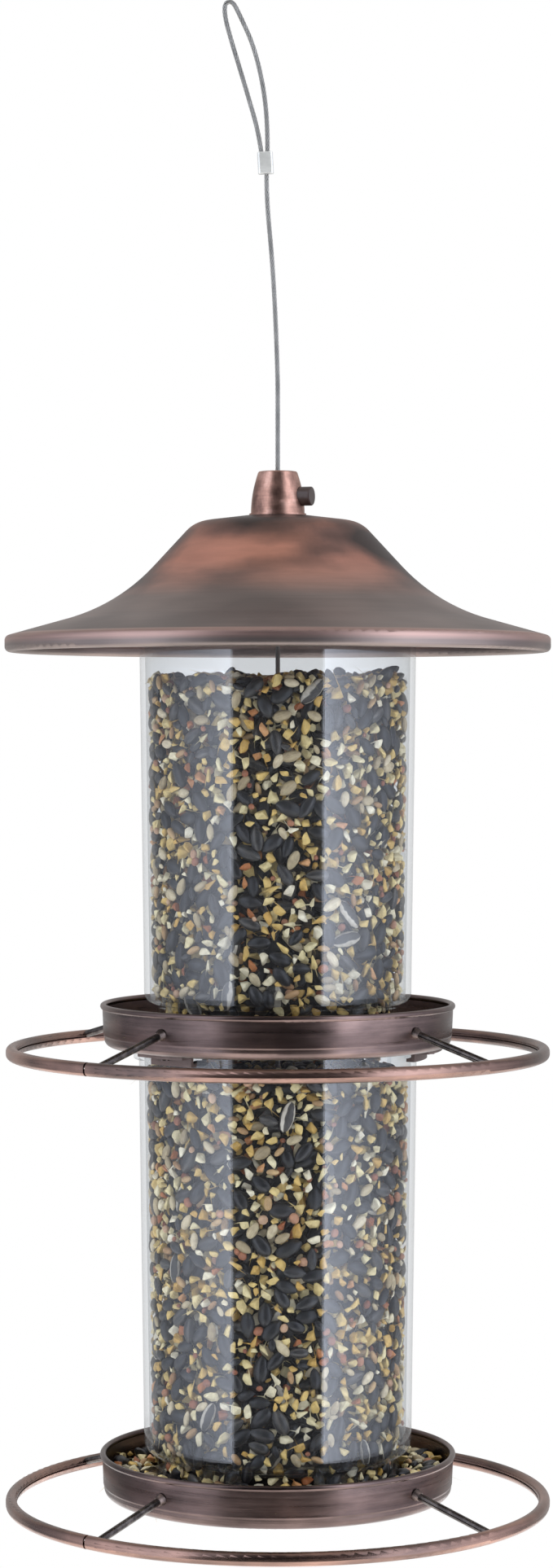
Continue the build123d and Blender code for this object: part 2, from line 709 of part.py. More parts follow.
def build_cable_stop(name):
    """The sleeve crimped on the cable's lower end, which carries the whole feeder."""
    with BuildPart() as stop:
        with BuildSketch(Plane.XY.offset(CABLE_START)):
            Circle(CABLE_STOP_R)
            Circle(CABLE_R, mode=Mode.SUBTRACT)
        extrude(amount=CABLE_STOP_HEIGHT)
        chamfer(stop.edges().group_by(Axis.Z)[0].sort_by(SortBy.RADIUS)[-1], length=0.6)
    save(stop.part, name)


def bend_radius(before, corner, after):
    """As large as the two runs at a corner allow."""
    turn = radians((corner - before).get_angle(after - corner))
    shorter = min((corner - before).length, (after - corner).length)
    return 0.45 * shorter / tan(turn / 2)


def build_hanging_cable(name):
    """The wire rope: straight up the axis, then through the ferrule, round the loop and back into it."""
    points = [Vector(0, 0, CABLE_START)] + [Vector(x, 0, z) for x, z in CABLE_ROUTE]
    corners = zip(points, points[1:], points[2:])
    bends = [bend_radius(*corner) for corner in corners]
    print("cable bends:", [round(bend, 1) for bend in bends])
    with BuildPart() as cable:
        with BuildLine() as path:
            FilletPolyline(*points, radius=bends)
        with BuildSketch(Plane.XY.offset(CABLE_START)):
            Circle(CABLE_R)
        sweep(path=path.wire())
    length = path.wire().length
    section = pi * CABLE_R**2
    print(f"cable length {length:.1f}, volume ratio {cable.part.volume / (section * length):.4f}")
    save(cable.part, name)


def build_loop_ferrule(name):
    """The sleeve pressed round both strands below the loop."""
    middle = Vector(FERRULE_X, 0, (FERRULE_BOTTOM + FERRULE_TOP) / 2)
    tilted = Plane(origin=middle, x_dir=(1, 0, 0)).rotated((0, -FERRULE_TILT, 0))
    height = FERRULE_TOP - FERRULE_BOTTOM
    with BuildPart() as ferrule:
        with BuildSketch(tilted.offset(-height / 2)):
            RectangleRounded(FERRULE_WIDTH, FERRULE_DEPTH, FERRULE_EDGE_R)
        extrude(amount=height)
        fillet(ferrule.faces().filter_by(tilted).edges(), radius=0.5)
    save(ferrule.part, name)


os.makedirs("parts", exist_ok=True)

build_tray(0.0, "lower_tray")
build_tray(TIER_PITCH, "upper_tray", TAB_ANGLES)
for tier, tier_base in (("lower", 0.0), ("upper", TIER_PITCH)):
    build_perch_ring(tier_base, f"{tier}_perch_ring")
    for number, arm_angle in enumerate(ARM_ANGLES, 1):
        build_perch_arm(tier_base, arm_angle, f"{tier}_perch_arm_{number}")
    build_arm_welds(tier_base, f"{tier}_arm_welds")
    build_tube(tier_base, f"{tier}_tube")
    build_tube_foot(tier_base, f"{tier}_tube_foot")
    build_foot_screws(tier_base, f"{tier}_foot_screws")
    build_foot_nuts(tier_base, f"{tier}_foot_nuts")

build_tube_seed(0.0, LOWER_SEED_DEPTH, "lower_tube_seed")
build_tube_seed(TIER_PITCH, UPPER_SEED_DEPTH, "upper_tube_seed")
build_tray_seed("lower_tray_seed")
for number, tab_angle in enumerate(TAB_ANGLES, 1):
    build_bayonet_tab(tab_angle, f"bayonet_tab_{number}")
build_tab_rivets("tab_rivets")
spun_roof = spin_roof()
shoulder_top = ROOF_CROWN_Z - SHOULDER_TOP_DROP
shoulder_foot = ROOF_CROWN_Z - SHOULDER_FOOT_DROP
build_roof_zone(spun_roof, shoulder_top, ROOF_CROWN_Z + SHEET, "roof_crown")
build_roof_zone(spun_roof, shoulder_foot, shoulder_top, "roof_shoulder")
build_roof_zone(spun_roof, BRIM_TOP - 2 * BRIM_ROLL_HEIGHT, shoulder_foot, "roof_brim")
build_tube_locator(spun_roof, "tube_locator")
build_neck_cap("neck_cap")
build_lock_body("lock_body")
build_lock_nut("lock_nut")
build_cable_grommet("cable_grommet")
build_push_button("push_button")
build_button_spring("button_spring")
build_base_washer("base_washer")
build_cable_stop("cable_stop")
build_hanging_cable("hanging_cable")
build_loop_ferrule("loop_ferrule")
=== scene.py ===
"""Looks of the two-tier hanging seed feeder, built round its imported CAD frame. Metres throughout."""

import math
import random

import bmesh
import bpy
import numpy as np
from mathutils import Matrix, Vector, noise


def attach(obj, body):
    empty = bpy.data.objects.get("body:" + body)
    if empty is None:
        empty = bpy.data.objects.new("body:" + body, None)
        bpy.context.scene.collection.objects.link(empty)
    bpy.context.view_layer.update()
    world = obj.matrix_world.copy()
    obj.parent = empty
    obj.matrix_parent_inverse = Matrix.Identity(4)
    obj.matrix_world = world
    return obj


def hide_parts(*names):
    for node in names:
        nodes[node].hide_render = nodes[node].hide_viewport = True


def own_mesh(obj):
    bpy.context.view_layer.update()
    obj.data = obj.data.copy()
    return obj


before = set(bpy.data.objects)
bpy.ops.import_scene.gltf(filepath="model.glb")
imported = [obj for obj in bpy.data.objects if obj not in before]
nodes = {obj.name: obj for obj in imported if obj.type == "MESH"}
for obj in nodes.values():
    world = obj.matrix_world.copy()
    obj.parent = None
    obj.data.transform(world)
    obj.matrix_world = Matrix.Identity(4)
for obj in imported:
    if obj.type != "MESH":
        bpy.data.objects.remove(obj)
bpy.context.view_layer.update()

MM = 0.001
SEED = 20
UP = Vector((0, 0, 1))
BUTTON_ANGLE = math.radians(-20)
BUTTON_HEIGHT = 0.4347
SOFTBOX_FRONT = {-1: 3.2, 1: 4.3}  # glow at a panel's front edge, left and right
SOFTBOX_REAR = 0.3
SOFTBOX_FALL = 1.8
BATCH = 2000  # seeds in one mesh
PATCH_SHIFT = (0.27, 0.31, 0.09)

# The cable's route, as in the part's source: from the stop under the lower tray to the end in the ferrule
CABLE_RADIUS = 1.0 * MM
CABLE_ROUTE = [
    (0.0, 0.0046),
    (0.0, 0.4700),
    (0.0, 0.4890),
    (-0.0019, 0.5320),
    (-0.0052, 0.5670),
    (-0.00415, 0.5870),
    (-0.0054, 0.6080),
    (-0.0100, 0.6285),
    (-0.0165, 0.6428),
    (-0.0191, 0.6479),
    (-0.0213, 0.6484),
    (-0.0230, 0.6469),
    (-0.0227, 0.6412),
    (-0.0199, 0.6310),
    (-0.0144, 0.6130),
    (-0.0071, 0.5880),
    (-0.00645, 0.5760),
]


# ---------------------------------------------------------------- meshes

def new_piece(name, mesh, body):
    """An object for a mesh that rides on a body and takes its finish from a slot."""
    piece = bpy.data.objects.new(name, mesh)
    bpy.context.scene.collection.objects.link(piece)
    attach(piece, body)
    return piece


def mesh_from(name, vertices, faces, smooth=True):
    mesh = bpy.data.meshes.new(name)
    mesh.from_pydata([tuple(map(float, v)) for v in vertices], [], faces)
    mesh.polygons.foreach_set("use_smooth", [smooth] * len(mesh.polygons))
    mesh.update()
    return mesh


def tube_rings(centres, radius, sides, aside=(0, 1, 0)):
    """Vertices and faces of a closed round tube through these centres; it never runs along aside."""
    count = len(centres)
    tangents = np.gradient(centres, axis=0)
    tangents /= np.linalg.norm(tangents, axis=1)[:, None]
    across = np.cross(tangents, aside)
    across /= np.linalg.norm(across, axis=1)[:, None]
    other = np.cross(tangents, across)
    angles = np.arange(sides) * 2 * math.pi / sides
    ring = np.cos(angles)[None, :, None] * across[:, None] + np.sin(angles)[None, :, None] * other[:, None]
    vertices = (centres[:, None] + radius * ring).reshape(-1, 3)
    faces = []
    for i in range(count - 1):
        for j in range(sides):
            k = (j + 1) % sides
            faces.append((i * sides + j, i * sides + k, (i + 1) * sides + k, (i + 1) * sides + j))
    faces.append(tuple(range(sides))[::-1])
    faces.append(tuple((count - 1) * sides + j for j in range(sides)))
    return vertices, faces


# ---------------------------------------------------------------- materials

class Shader:
    """A short way to write a node material: nodes are made by type and linked by name."""

    def __init__(self, name):
        self.material = bpy.data.materials.new(name)
        self.material.use_nodes = True
        self.tree = self.material.node_tree
        self.tree.nodes.clear()
        self.output = self.node("OutputMaterial")

    def node(self, kind, inputs=None, **settings):
        made = self.tree.nodes.new("ShaderNode" + kind)
        for key, value in settings.items():
            setattr(made, key, value)
        for key, value in (inputs or {}).items():
            if isinstance(value, bpy.types.NodeSocket):
                self.tree.links.new(value, made.inputs[key])
            else:
                made.inputs[key].default_value = value
        return made

    def math(self, operation, first, second=0.0):
        return self.node("Math", {0: first, 1: second}, operation=operation).outputs[0]

    def ramp(self, factor, stops):
        made = self.node("ValToRGB", {"Fac": factor})
        elements = made.color_ramp.elements
        while len(elements) < len(stops):
            elements.new(0.5)
        for element, (place, colour) in zip(elements, stops):
            element.position = place
            element.color = (*colour, 1.0)
        return made.outputs["Color"]

    def mix(self, factor, first, second, blend="MIX"):
        made = self.node("Mix", data_type="RGBA", blend_type=blend)
        for socket, value in ((made.inputs[0], factor), (made.inputs[6], first), (made.inputs[7], second)):
            if isinstance(value, bpy.types.NodeSocket):
                self.tree.links.new(value, socket)
            else:
                socket.default_value = value
        return made.outputs[2]

    def noise(self, vector, scale, detail=3.0, rough=0.5):
        made = self.node("TexNoise", {"Vector": vector, "Scale": scale, "Detail": detail, "Roughness": rough})
        return made.outputs["Fac"]

    def object_place(self):
        return self.node("TexCoord").outputs["Object"]

    def turned_place(self, along, across):
        """Coordinates for marks that run round the axis: slow round it, quick in height and radius."""
        parts = self.node("SeparateXYZ", {0: self.object_place()})
        x, y, z = parts.outputs
        radius = self.math("SQRT", self.math("ADD", self.math("MULTIPLY", x, x), self.math("MULTIPLY", y, y)))
        safe = self.math("MAXIMUM", radius, 1e-5)
        cosine = self.math("MULTIPLY", self.math("DIVIDE", x, safe), along)
        sine = self.math("MULTIPLY", self.math("DIVIDE", y, safe), along)
        depth = self.math("MULTIPLY", self.math("ADD", z, self.math("MULTIPLY", radius, 1.37)), across)
        return self.node("CombineXYZ", {0: cosine, 1: sine, 2: depth}).outputs[0]

    def bump(self, height, strength, distance, normal=None):
        inputs = {"Height": height, "Strength": strength, "Distance": distance}
        if normal is not None:
            inputs["Normal"] = normal
        return self.node("Bump", inputs).outputs[0]

    def finish(self, shader):
        self.tree.links.new(shader, self.output.inputs["Surface"])
        return self.material


def principled(shader, colour, rough, normal=None, **sockets):
    inputs = {"Base Color": colour, "Roughness": rough}
    if normal is not None:
        inputs["Normal"] = normal
    inputs.update({key.replace("_", " "): value for key, value in sockets.items()})
    return shader.finish(shader.node("BsdfPrincipled", inputs).outputs[0])


def copper(name, dark, middle, bright, patch_scale, wear, base_rough):
    """Plated metal brushed round the axis, darkened in patches and rubbed bright in others."""
    s = Shader(name)
    place = s.object_place()
    patches = s.noise(place, patch_scale, 4.0, 0.55)
    brushed = s.noise(s.turned_place(1.6, 900.0), 1.0, 3.0, 0.6)
    fine = s.noise(s.turned_place(9.0, 4200.0), 1.0, 2.0, 0.6)
    streaks = s.noise(s.turned_place(3.0, 150.0), 1.0, 4.0, 0.6)
    tone = s.math("ADD", s.math("MULTIPLY", patches, 0.62), s.math("MULTIPLY", streaks, 0.38))
    colour = s.ramp(tone, [(0.34, dark), (0.5, middle), (0.5 + wear, bright)])
    lines = s.ramp(brushed, [(0.3, (0.72, 0.72, 0.72)), (0.7, (1.0, 1.0, 1.0))])
    colour = s.mix(1.0, colour, lines, "MULTIPLY")
    rough = s.math("ADD", s.math("MULTIPLY", brushed, 0.22), base_rough - 0.11)
    normal = s.bump(brushed, 0.16, 0.0002, s.bump(fine, 0.08, 0.0001))
    return principled(s, colour, rough, normal, Metallic=1.0)


def roof_copper():
    """Antique copper: rubbed bright in soft patches on the shoulder, smoky towards the brim, with a painted highlight
    along the brim's outer lip.
    """
    s = Shader("roof_copper")
    place = s.object_place()
    parts = s.node("SeparateXYZ", {0: place})
    x, y, z = parts.outputs
    radius = s.math("SQRT", s.math("ADD", s.math("MULTIPLY", x, x), s.math("MULTIPLY", y, y)))
    stretched = s.node("CombineXYZ", {0: x, 1: y, 2: s.math("MULTIPLY", z, 2.4)}).outputs[0]
    shifted = s.node("VectorMath", {0: stretched, 1: PATCH_SHIFT}, operation="ADD").outputs[0]
    patches = s.noise(shifted, 17.0, 2.0, 0.45)
    streaks = s.noise(s.turned_place(2.2, 210.0), 1.0, 4.0, 0.6)
    brushed = s.noise(s.turned_place(1.6, 900.0), 1.0, 3.0, 0.6)
    scratches = s.noise(s.turned_place(14.0, 5200.0), 1.0, 2.0, 0.6)
    tone = s.math("ADD", s.math("MULTIPLY", patches, 0.86), s.math("MULTIPLY", streaks, 0.14))
    shoulder = s.ramp(tone, [(0.36, (0.10, 0.075, 0.068)), (0.47, (0.27, 0.155, 0.125)), (0.60, (0.70, 0.335, 0.24))])
    smoky = s.ramp(tone, [(0.36, (0.225, 0.184, 0.167)), (0.62, (0.36, 0.284, 0.255))])
    outward = s.node("MapRange", {"Value": radius, "From Min": 0.052, "From Max": 0.072}).outputs[0]
    colour = s.mix(outward, shoulder, smoky)
    # Painted highlight: lighter copper mixed in on the brim's outermost rim, above z 0.3706–0.3726, broken up by the
    # streaks.
    rim = s.node("MapRange", {"Value": radius, "From Min": 0.1132, "From Max": 0.1146}).outputs[0]
    below = s.node("MapRange", {"Value": z, "From Min": 0.3706, "From Max": 0.3726, "To Min": 0.0, "To Max": 1.0}).outputs[0]
    lip_highlight = s.math("MULTIPLY", s.math("MULTIPLY", rim, below), s.math("ADD", s.math("MULTIPLY", streaks, 0.8), 0.3))
    colour = s.mix(lip_highlight, colour, (0.62, 0.40, 0.34, 1.0))
    lines = s.ramp(brushed, [(0.3, (0.84, 0.84, 0.84)), (0.7, (1.0, 1.0, 1.0))])
    colour = s.mix(1.0, colour, lines, "MULTIPLY")
    rough = s.math("ADD", s.math("MULTIPLY", brushed, 0.18), 0.36)
    normal = s.bump(brushed, 0.12, 0.0002, s.bump(scratches, 0.06, 0.0001))
    return principled(s, colour, rough, normal, Metallic=1.0)


def dark_metal(name, colour, bright, rough):
    """Dark plating with small rubbed spots."""
    s = Shader(name)
    place = s.object_place()
    spots = s.noise(place, 260.0, 4.0, 0.6)
    grain = s.noise(place, 2600.0, 2.0)
    tone = s.ramp(spots, [(0.42, colour), (0.72, bright)])
    roughness = s.math("ADD", s.math("MULTIPLY", spots, 0.2), rough - 0.1)
    return principled(s, tone, roughness, s.bump(grain, 0.12, 0.0001), Metallic=1.0)


def steel(name, colour, rough, grain_scale=1800.0, metallic=1.0):
    """Bright metal with a fine grain and slight staining."""
    s = Shader(name)
    place = s.object_place()
    stain = s.noise(place, 140.0, 3.0)
    grain = s.noise(place, grain_scale, 2.0)
    tone = s.ramp(stain, [(0.3, tuple(0.72 * c for c in colour)), (0.65, colour)])
    roughness = s.math("ADD", s.math("MULTIPLY", grain, 0.2), rough - 0.1)
    return principled(s, tone, roughness, s.bump(grain, 0.15, 0.0001), Metallic=metallic)


def plastic(name, colour, pale, rough):
    """Moulded plastic with a fine texture and a little dust."""
    s = Shader(name)
    place = s.object_place()
    dust = s.noise(place, 110.0, 4.0, 0.6)
    grain = s.noise(place, 3000.0, 2.0)
    tone = s.ramp(dust, [(0.45, colour), (0.8, pale)])
    roughness = s.math("ADD", s.math("MULTIPLY", dust, 0.2), rough - 0.1)
    return principled(s, tone, roughness, s.bump(grain, 0.2, 0.0001))


def clear_plastic(name):
    """Clear tube wall: sheen that grows towards its edges, faint haze, fine scuffs up and down it."""
    s = Shader(name)
    place = s.object_place()
    scuffs = s.noise(place, 700.0, 3.0, 0.7)
    cloud = s.noise(place, 16.0, 3.0)
    clear = s.node("BsdfTransparent", {"Color": (0.918, 0.927, 0.935, 1.0)}).outputs[0]
    haze = s.node("BsdfDiffuse", {"Color": (0.86, 0.89, 0.95, 1.0)}).outputs[0]
    rough = s.math("ADD", s.math("MULTIPLY", scuffs, 0.02), 0.004)
    sheen = s.node("BsdfGlossy", {"Color": (1.0, 1.0, 1.0, 1.0), "Roughness": rough}).outputs[0]
    amount = s.math("MULTIPLY", s.math("MULTIPLY", cloud, scuffs), 0.022)
    body = s.node("MixShader", {0: amount, 1: clear, 2: haze}).outputs[0]
    facing = s.node("LayerWeight", {"Blend": 0.5}).outputs["Facing"]
    edge = s.math("ADD", s.math("MULTIPLY", s.math("POWER", facing, 5.0), 0.6), 0.045)
    return s.finish(s.node("MixShader", {0: edge, 1: body, 2: sheen}).outputs[0])


def seed_material(name, stops, rough, stripe=None, coat=0.0):
    """A seed's skin: each seed has its own tint, with fine grain and, on striped seeds, long stripes."""
    s = Shader(name)
    tint = s.node("Attribute", attribute_name="tint", attribute_type="GEOMETRY").outputs["Fac"]
    skin = s.node("UVMap", uv_map="skin").outputs[0]
    colour = s.ramp(tint, stops)
    mottle = s.noise(s.object_place(), 420.0, 4.0, 0.6)
    shade = s.ramp(mottle, [(0.3, (0.62, 0.6, 0.58)), (0.7, (1.0, 1.0, 1.0))])
    colour = s.mix(1.0, colour, shade, "MULTIPLY")
    parts = s.node("SeparateXYZ", {0: skin})
    lines = s.math("MULTIPLY", parts.outputs[1], 2 * math.pi * (stripe[0] if stripe else 14))
    wander = s.math("MULTIPLY", s.noise(s.object_place(), 300.0, 2.0), 2.6)
    wave = s.math("SINE", s.math("ADD", lines, wander))
    if stripe:
        band = s.ramp(s.math("ADD", s.math("MULTIPLY", wave, 0.5), 0.5), stripe[1])
        colour = s.mix(1.0, colour, band, "MULTIPLY")
    height = s.math("ADD", s.math("MULTIPLY", wave, 0.3), mottle)
    normal = s.bump(height, 0.35, 0.0004)
    return principled(s, colour, rough, normal, Coat_Weight=coat)


MATERIALS = {
    "roof": roof_copper(),
    "tray": copper("tray_copper", (0.085, 0.062, 0.057), (0.165, 0.117, 0.107), (0.35, 0.24, 0.212), 15.0, 0.22, 0.30),
    "neck": copper("neck_copper", (0.20, 0.115, 0.092), (0.56, 0.315, 0.24), (0.88, 0.55, 0.44), 60.0, 0.15, 0.38),
    "ring": copper("ring_copper", (0.13, 0.095, 0.085), (0.34, 0.21, 0.17), (0.60, 0.355, 0.28), 16.0, 0.18, 0.29),
    "arm": dark_metal("arm_bronze", (0.07, 0.06, 0.056), (0.2, 0.175, 0.16), 0.34),
    "weld": dark_metal("weld_bronze", (0.1, 0.08, 0.072), (0.34, 0.26, 0.23), 0.4),
    "tab": plastic("tab_enamel", (0.075, 0.05, 0.046), (0.14, 0.1, 0.095), 0.5),
    "brown": plastic("brown_plastic", (0.028, 0.016, 0.014), (0.065, 0.042, 0.037), 0.32),
    "black": plastic("black_plastic", (0.015, 0.015, 0.015), (0.06, 0.06, 0.06), 0.45),
    "rope": steel("rope_steel", (0.48, 0.465, 0.43), 0.46, 5000.0),
    "stop": steel("stop_steel", (0.6, 0.6, 0.6), 0.3),
    "zinc": steel("zinc_plate", (0.62, 0.63, 0.65), 0.34),
    "ferrule": steel("ferrule_metal", (0.73, 0.74, 0.725), 0.36, 1800.0, 0.6),
    "tube": clear_plastic("clear_tube"),
}

CAD_MATERIALS = {
    "lower_tray": "tray",
    "upper_tray": "tray",
    "lower_perch_ring": "ring",
    "upper_perch_ring": "ring",
    "lower_arm_welds": "weld",
    "upper_arm_welds": "weld",
    "lower_tube": "tube",
    "upper_tube": "tube",
    "lower_foot_screws": "zinc",
    "upper_foot_screws": "zinc",
    "lower_foot_nuts": "zinc",
    "upper_foot_nuts": "zinc",
    "bayonet_tab_1": "tab",
    "bayonet_tab_2": "tab",
    "bayonet_tab_3": "tab",
    "tab_rivets": "weld",
    "roof_crown": "roof",
    "roof_shoulder": "roof",
    "roof_brim": "roof",
    "neck_cap": "neck",
    "tube_locator": "brown",
    "lock_body": "brown",
    "lock_nut": "brown",
    "cable_grommet": "black",
    "push_button": "brown",
    "base_washer": "zinc",
    "cable_stop": "stop",
    "loop_ferrule": "ferrule",
}
for tier in ("lower", "upper"):
    CAD_MATERIALS[f"{tier}_tube_foot"] = "tube"
    for number in range(1, 5):
        CAD_MATERIALS[f"{tier}_perch_arm_{number}"] = "arm"


def dress_cad_nodes():
    """Gives every carried-over CAD node its material."""
    for name, key in CAD_MATERIALS.items():
        node = nodes[name]
        node.data.materials.clear()
        node.data.materials.append(MATERIALS[key])


# ---------------------------------------------------------------- cable

def route_points():
    """Points along the route's NURBS line, close together."""
    curve = bpy.data.curves.new("cable_route", "CURVE")
    curve.dimensions = "3D"
    spline = curve.splines.new("NURBS")
    spline.points.add(len(CABLE_ROUTE) - 1)
    for point, (x, z) in zip(spline.points, CABLE_ROUTE):
        point.co = (x, 0.0, z, 1.0)
    spline.order_u = 3
    spline.use_endpoint_u = True
    spline.resolution_u = 48
    holder = bpy.data.objects.new("cable_route", curve)
    bpy.context.scene.collection.objects.link(holder)
    bpy.context.view_layer.update()
    line = bpy.data.meshes.new_from_object(holder)
    points = np.array([vertex.co[:] for vertex in line.vertices])
    bpy.data.objects.remove(holder)
    bpy.data.meshes.remove(line)
    return points


def evenly(points, step):
    """The same line with points a fixed step apart."""
    lengths = np.concatenate([[0], np.cumsum(np.linalg.norm(np.diff(points, axis=0), axis=1))])
    places = np.linspace(0, lengths[-1], int(lengths[-1] / step) + 1)
    return np.stack([np.interp(places, lengths, points[:, k]) for k in range(3)], axis=1)


def build_cable():
    """Six strands laid round a core along the route."""
    line = evenly(route_points(), 0.55 * MM)
    strand = CABLE_RADIUS / 3
    lay = 11.0 * MM
    tangents = np.gradient(line, axis=0)
    tangents /= np.linalg.norm(tangents, axis=1)[:, None]
    across = np.cross(tangents, (0, 1, 0))
    across /= np.linalg.norm(across, axis=1)[:, None]
    other = np.cross(tangents, across)
    travel = np.concatenate([[0], np.cumsum(np.linalg.norm(np.diff(line, axis=0), axis=1))])
    vertices, faces = tube_rings(line, strand, 5)
    vertices = list(vertices)
    for number in range(6):
        phase = 2 * math.pi * (travel / lay + number / 6)
        offset = np.cos(phase)[:, None] * across + np.sin(phase)[:, None] * other
        more, more_faces = tube_rings(line + 2 * strand * offset, strand, 6)
        start = len(vertices)
        vertices.extend(more)
        faces += [tuple(start + v for v in face) for face in more_faces]
    mesh = mesh_from("wire_rope", vertices, faces)
    mesh.materials.append(MATERIALS["rope"])
    rope = new_piece("wire_rope", mesh, "base")
    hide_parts("hanging_cable")
    return rope


# ---------------------------------------------------------------- lock spring

def build_spring():
    """The coil behind the button's head, carried on the button's body."""
    inner, outer, coil, wire, turns, travel = 5.8, 9.3, 3.2, 0.22, 2.5, 1.8
    outward = Vector((math.cos(BUTTON_ANGLE), math.sin(BUTTON_ANGLE), 0))
    sideways = UP.cross(outward)
    centre = UP * BUTTON_HEIGHT
    points = []
    for step in range(121):
        share = step / 120
        turn = 2 * math.pi * turns * share
        along = inner + wire + (outer - inner - 2 * wire) * share
        round_it = sideways * math.cos(turn) + UP * math.sin(turn)
        points.append(centre + (outward * along + round_it * coil) * MM)
    mesh = mesh_from("lock_spring", *tube_rings(np.array(points), wire * MM, 8, outward))
    mesh.materials.append(MATERIALS["stop"])
    spring = new_piece("lock_spring", mesh, "button")
    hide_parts("button_spring")
    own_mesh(spring)


# ---------------------------------------------------------------- seed

def drop_shape(sides, tip):
    """A unit seed along X, pointed at +X: vertices, faces and skin coordinates."""
    stations = np.array([0.0, 0.05, 0.16, 0.34, 0.55, 0.76, 0.92, 1.0])
    profile = stations**0.5 * (1 - stations) ** tip
    profile = profile / profile.max()
    vertices, skin, faces = [], [], []
    for t, r in zip(stations, profile):
        for j in range(sides):
            angle = 2 * math.pi * j / sides
            vertices.append((t - 0.5, 0.5 * r * math.cos(angle), 0.5 * r * math.sin(angle)))
            skin.append((t, j / sides))
    for i in range(len(stations) - 1):
        for j in range(sides):
            k = (j + 1) % sides
            faces.append((i * sides + j, i * sides + k, (i + 1) * sides + k, (i + 1) * sides + j))
    return np.array(vertices), faces, np.array(skin)


def round_shape(level):
    """A unit ball."""
    ball = bmesh.new()
    bmesh.ops.create_icosphere(ball, subdivisions=level, radius=0.5)
    vertices = np.array([v.co[:] for v in ball.verts])
    faces = [tuple(v.index for v in face.verts) for face in ball.faces]
    ball.free()
    return vertices, faces, vertices[:, :2] + 0.5


def chip_shape(rng, corners):
    """A cracked grain: the hull of points scattered on a unit ball, its edges taken off."""
    chip = bmesh.new()
    for _ in range(corners):
        direction = Vector([rng.gauss(0, 1) for _ in range(3)]).normalized()
        chip.verts.new(direction * 0.5 * rng.uniform(0.8, 1.05))
    hull = bmesh.ops.convex_hull(chip, input=chip.verts)
    bmesh.ops.delete(chip, geom=list(set(hull["geom_interior"] + hull["geom_unused"])), context="VERTS")
    bmesh.ops.bevel(chip, geom=chip.edges, offset=0.045, segments=1, affect="EDGES")
    chip.verts.index_update()
    vertices = np.array([v.co[:] for v in chip.verts])
    faces = [tuple(v.index for v in face.verts) for face in chip.faces]
    chip.free()
    return vertices, faces, vertices[:, :2] + 0.5


def seed_kinds():
    """What the mix holds: share by number, size in mm, shapes, smoothness, material."""
    rng = random.Random(SEED)
    plump = drop_shape(8, 0.62)
    slim = drop_shape(8, 0.5)
    grain = drop_shape(6, 0.45)
    chips = [chip_shape(rng, 11) for _ in range(10)]
    small_chips = [chip_shape(rng, 9) for _ in range(8)]
    return {
        "black_sunflower": {
            "share": 0.42, "size": (10.5, 6.0, 4.2), "shapes": [plump], "smooth": True,
            "material": seed_material(
                "black_sunflower", [(0.0, (0.008, 0.008, 0.010)), (0.7, (0.018, 0.018, 0.021)), (1.0, (0.05, 0.048, 0.047))],
                0.45, (5, [(0.0, (0.6, 0.6, 0.62)), (0.6, (1.0, 1.0, 1.0)), (0.95, (1.9, 1.85, 1.8))]), 0.15),
        },
        "striped_sunflower": {
            "share": 0.025, "size": (14.0, 7.0, 4.4), "shapes": [slim], "smooth": True,
            "material": seed_material(
                "striped_sunflower", [(0.0, (0.42, 0.41, 0.38)), (1.0, (0.62, 0.59, 0.53))],
                0.5, (3, [(0.6, (0.1, 0.1, 0.11)), (0.8, (1.0, 1.0, 1.0))]), 0.0),
        },
        "seed_hearts": {
            "share": 0.07, "size": (8.0, 4.3, 3.0), "shapes": [plump], "smooth": True,
            "material": seed_material(
                "seed_hearts", [(0.0, (0.34, 0.27, 0.16)), (0.6, (0.54, 0.46, 0.30)), (1.0, (0.72, 0.64, 0.47))], 0.5),
        },
        "cracked_corn": {
            "share": 0.46, "size": (7.6, 6.3, 4.9), "shapes": chips, "smooth": False,
            "material": seed_material(
                "cracked_corn",
                [(0.0, (0.62, 0.38, 0.09)), (0.35, (0.77, 0.58, 0.21)), (0.7, (0.80, 0.72, 0.43)), (1.0, (0.88, 0.84, 0.70))],
                0.42),
        },
        "peanut_bits": {
            "share": 0.06, "size": (6.8, 5.4, 4.4), "shapes": chips, "smooth": False,
            "material": seed_material(
                "peanut_bits", [(0.0, (0.26, 0.07, 0.02)), (0.5, (0.50, 0.19, 0.06)), (1.0, (0.66, 0.36, 0.16))], 0.45),
        },
        "wheat": {
            "share": 0.05, "size": (6.4, 3.1, 2.8), "shapes": [grain], "smooth": True,
            "material": seed_material(
                "wheat", [(0.0, (0.36, 0.2, 0.09)), (1.0, (0.58, 0.4, 0.2))], 0.48),
        },
        "milo": {
            "share": 0.02, "size": (4.2, 3.7, 3.2), "shapes": [round_shape(2)], "smooth": True,
            "material": seed_material(
                "milo", [(0.0, (0.24, 0.075, 0.04)), (0.6, (0.42, 0.17, 0.09)), (1.0, (0.62, 0.42, 0.28))], 0.45),
        },
    }


